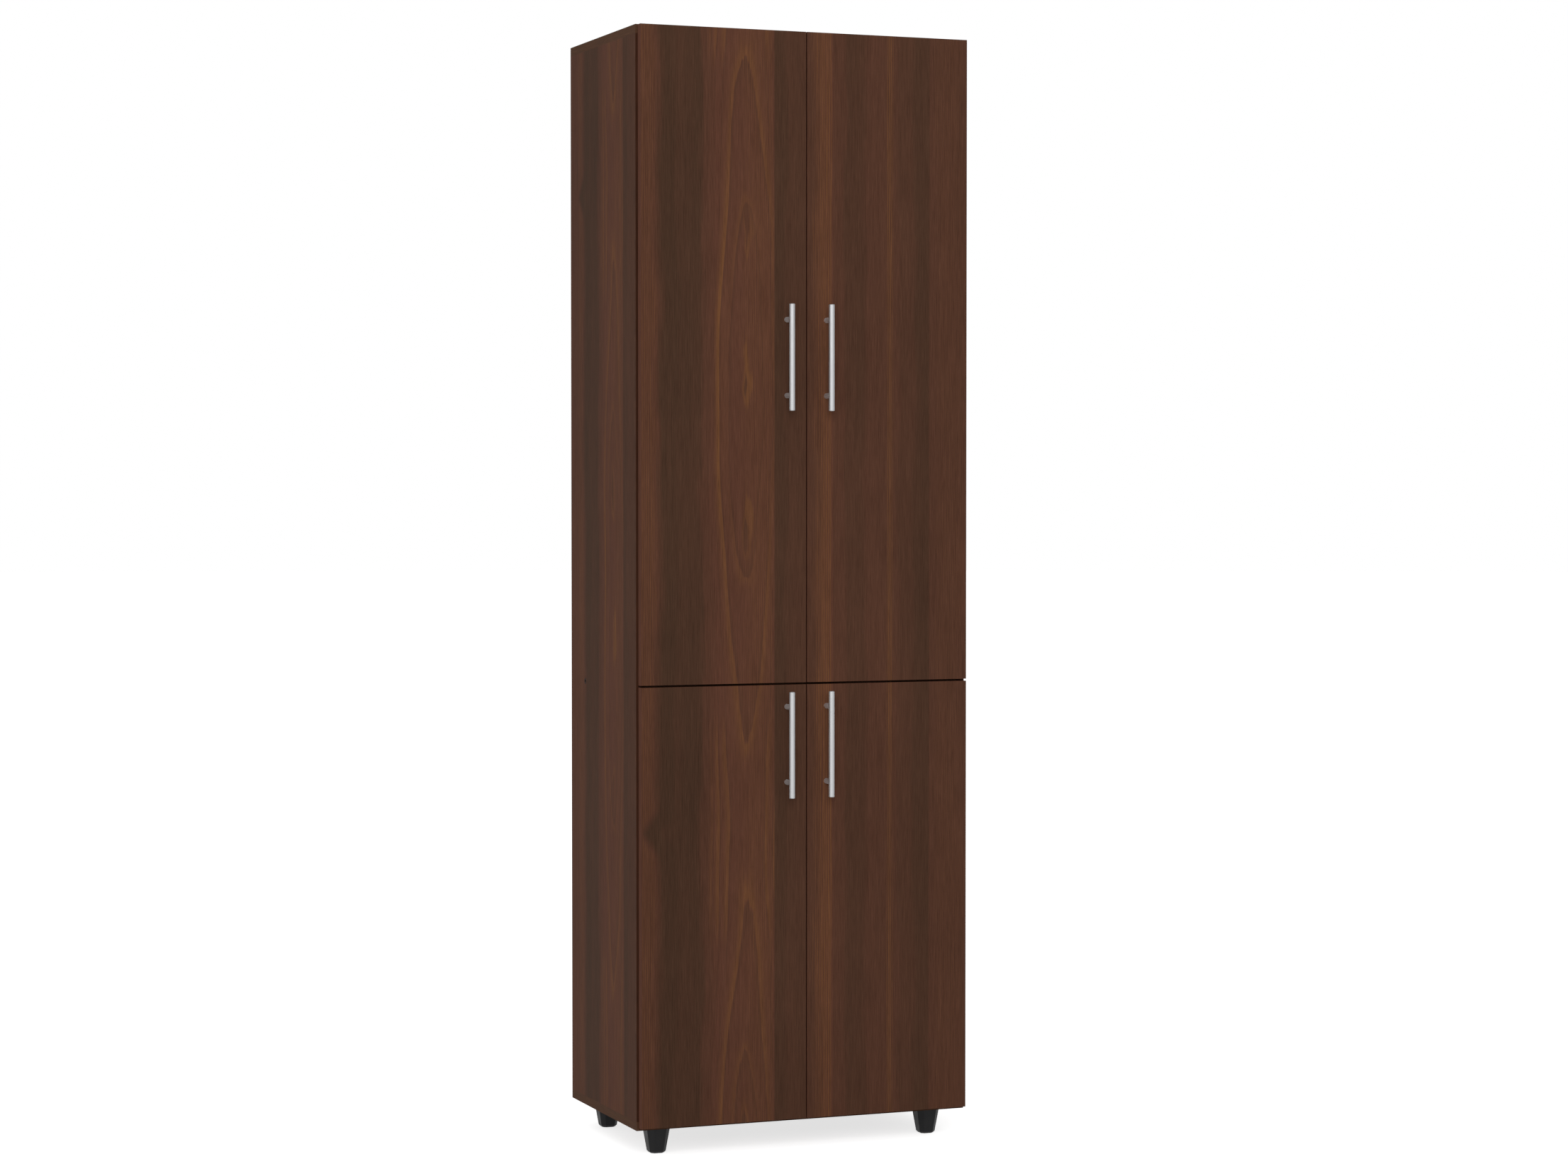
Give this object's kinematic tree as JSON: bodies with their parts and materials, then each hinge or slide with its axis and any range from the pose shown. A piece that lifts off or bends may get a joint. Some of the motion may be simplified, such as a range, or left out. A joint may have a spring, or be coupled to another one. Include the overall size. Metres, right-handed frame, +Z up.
{
  "type": "wardrobe",
  "caption": "Tall narrow free-standing wardrobe in dark walnut-look board with upper and lower hinged doors, slim bar handles, a clothes rail, shelves and tapered plastic feet.",
  "frame": {"origin": "on the floor under the middle of the wardrobe's box, handles and back panel included", "axes": "+Z up, doors face -Y, +X to the right seen from the front"},
  "size_m": [0.6, 0.396, 1.895],
  "materials": {
    "walnut_board": "satin walnut-look laminate on particle board",
    "hardboard": "thin laminated hardboard",
    "satin_steel": "satin",
    "foot_plastic": "moulded black",
    "cap_plastic": "moulded grey",
    "rail_chrome": "bright plated",
    "beech_dowel": "plain fluted beech",
    "nickel_fittings": "nickel plated",
    "zinc_screws": "zinc plated"
  },
  "bodies": {
    "carcass": {"back_nails": "zinc_screws", "bottom_panel": "walnut_board", "carcass_dowels": "beech_dowel", "carcass_screws": "zinc_screws", "clothes_rail": "rail_chrome", "fixed_shelf": "walnut_board", "foot_screws": "zinc_screws", "front_left_foot": "foot_plastic", "front_rail_bracket": "nickel_fittings", "front_right_foot": "foot_plastic", "left_arm_screws": "zinc_screws", "left_hinge_arms": "nickel_fittings", "left_hinge_plates": "nickel_fittings", "left_plate_screws": "zinc_screws", "left_side": "walnut_board", "lower_back": "hardboard", "lower_shelf": "walnut_board", "rail_caps": "cap_plastic", "rail_screws": "zinc_screws", "rear_left_foot": "foot_plastic", "rear_rail_bracket": "nickel_fittings", "rear_right_foot": "foot_plastic", "right_arm_screws": "zinc_screws", "right_hinge_arms": "nickel_fittings", "right_hinge_plates": "nickel_fittings", "right_plate_screws": "zinc_screws", "right_side": "walnut_board", "shelf_pins": "nickel_fittings", "top_panel": "walnut_board", "upper_back": "hardboard"},
    "upper_left": {"upper_left_cup_screws": "zinc_screws", "upper_left_door": "walnut_board", "upper_left_handle_bar": "satin_steel", "upper_left_handle_posts": "satin_steel", "upper_left_handle_screws": "zinc_screws", "upper_left_hinge_cups": "nickel_fittings", "upper_left_hinge_pins": "nickel_fittings"},
    "upper_right": {"upper_right_cup_screws": "zinc_screws", "upper_right_door": "walnut_board", "upper_right_handle_bar": "satin_steel", "upper_right_handle_posts": "satin_steel", "upper_right_handle_screws": "zinc_screws", "upper_right_hinge_cups": "nickel_fittings", "upper_right_hinge_pins": "nickel_fittings"},
    "lower_left": {"lower_left_cup_screws": "zinc_screws", "lower_left_door": "walnut_board", "lower_left_handle_bar": "satin_steel", "lower_left_handle_posts": "satin_steel", "lower_left_handle_screws": "zinc_screws", "lower_left_hinge_cups": "nickel_fittings", "lower_left_hinge_pins": "nickel_fittings"},
    "lower_right": {"lower_right_cup_screws": "zinc_screws", "lower_right_door": "walnut_board", "lower_right_handle_bar": "satin_steel", "lower_right_handle_posts": "satin_steel", "lower_right_handle_screws": "zinc_screws", "lower_right_hinge_cups": "nickel_fittings", "lower_right_hinge_pins": "nickel_fittings"}
  },
  "joints": [
    {"name": "upper_left_swing", "type": "hinge", "parent": "carcass", "child": "upper_left", "pos_m": [-0.2904, -0.1625, 1.3445], "axis": [0, 0, -1], "range_deg": [0, 100]},
    {"name": "upper_right_swing", "type": "hinge", "parent": "carcass", "child": "upper_right", "pos_m": [0.2904, -0.1625, 1.3445], "axis": [0, 0, 1], "range_deg": [0, 100]},
    {"name": "lower_left_swing", "type": "hinge", "parent": "carcass", "child": "lower_left", "pos_m": [-0.2904, -0.1625, 0.4217], "axis": [0, 0, -1], "range_deg": [0, 100]},
    {"name": "lower_right_swing", "type": "hinge", "parent": "carcass", "child": "lower_right", "pos_m": [0.2904, -0.1625, 0.4217], "axis": [0, 0, 1], "range_deg": [0, 100]}
  ]
}
